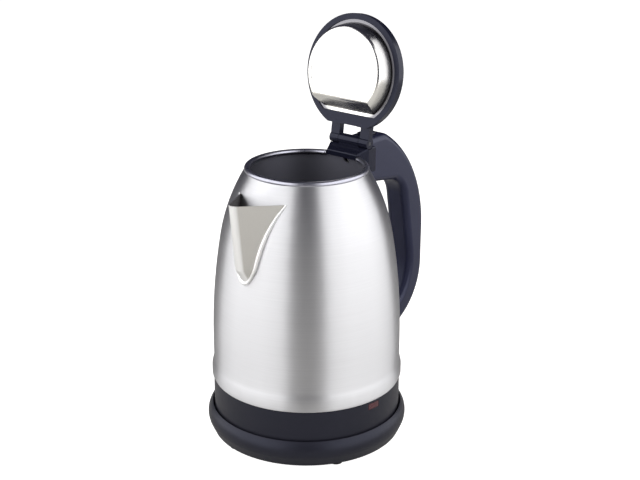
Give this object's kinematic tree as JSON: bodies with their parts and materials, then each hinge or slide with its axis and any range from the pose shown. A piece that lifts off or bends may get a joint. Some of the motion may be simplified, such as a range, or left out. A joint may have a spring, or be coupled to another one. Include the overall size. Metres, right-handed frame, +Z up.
{
  "type": "cordless electric kettle",
  "caption": "Steel jug kettle with a sheet-metal V spout, loop handle and hinged lid standing open, lifting off a round power base with a swivelling connector.",
  "frame": {"origin": "on the table, under the middle of the round power base", "axes": "+Z up along the kettle's axis, +X towards the handle, spout along -X, lid pivot along Y"},
  "size_m": [0.2239, 0.1604, 0.3276],
  "materials": {
    "brushed_steel": "brushed round the body",
    "bright_steel": "bright drawn sheet",
    "black_plastic": "satin",
    "base_plastic": "satin",
    "inner_plastic": "moulded",
    "tube_plastic": "moulded",
    "rubber": "matt",
    "brass": "stamped",
    "fastener_steel": "plain",
    "aluminium": "plain",
    "red_lens": "translucent red",
    "lamp_glass": "clear"
  },
  "bodies": {
    "power_base": {"base_shell": "base_plastic", "base_bottom_cover": "base_plastic", "base_feet": "rubber", "base_screws": "fastener_steel", "base_connector": "base_plastic", "base_contacts": "brass"},
    "shutter": {"contact_shutter": "base_plastic"},
    "kettle": {"body_shell": "brushed_steel", "spout": "brushed_steel", "spout_strainer": "bright_steel", "floor_plate": "bright_steel", "heat_plate": "aluminium", "heating_element": "fastener_steel", "skirt": "black_plastic", "skirt_floor": "black_plastic", "skirt_screws": "fastener_steel", "control_housing": "inner_plastic", "connector_contacts": "brass", "bimetal_disc": "brass", "control_screws": "fastener_steel", "indicator_lens": "red_lens", "indicator_lamp": "lamp_glass", "handle_shell": "black_plastic", "handle_inner_cover": "black_plastic", "handle_screws": "fastener_steel", "handle_top_bracket": "fastener_steel", "steam_tube": "tube_plastic", "hinge_block": "black_plastic", "hinge_pin": "fastener_steel", "lid_spring": "fastener_steel", "button_spring": "fastener_steel", "switch_pin": "fastener_steel"},
    "lid": {"lid_frame": "black_plastic", "lid_top_plate": "bright_steel", "lid_inner_pan": "bright_steel"},
    "button": {"lid_button": "black_plastic"},
    "switch": {"switch_lever": "black_plastic"}
  },
  "joints": [
    {"name": "swivel", "type": "hinge", "parent": "power_base", "child": "shutter", "pos_m": [0, 0, 0.0187], "axis": [0, 0, 1], "continuous": true},
    {"name": "lift", "type": "slide", "parent": "shutter", "child": "kettle", "axis": [0, 0, 1], "range_m": [0, 0.12]},
    {"name": "lid_hinge", "type": "hinge", "parent": "kettle", "child": "lid", "pos_m": [0.0537, 0, 0.2283], "axis": [0, 1, 0], "range_deg": [-98, 0], "stiffness_Nm_per_rad": 0.03, "springref_deg": 57.3},
    {"name": "button_press", "type": "slide", "parent": "kettle", "child": "button", "axis": [0, 0, -1], "range_m": [0, 0.002], "stiffness_N_per_m": 400, "springref_m": -0.002, "deforming": ["button_spring"]},
    {"name": "switch_rock", "type": "hinge", "parent": "kettle", "child": "switch", "pos_m": [0.0692, 0, 0.029], "axis": [0, 1, 0], "range_deg": [0, 8]}
  ]
}
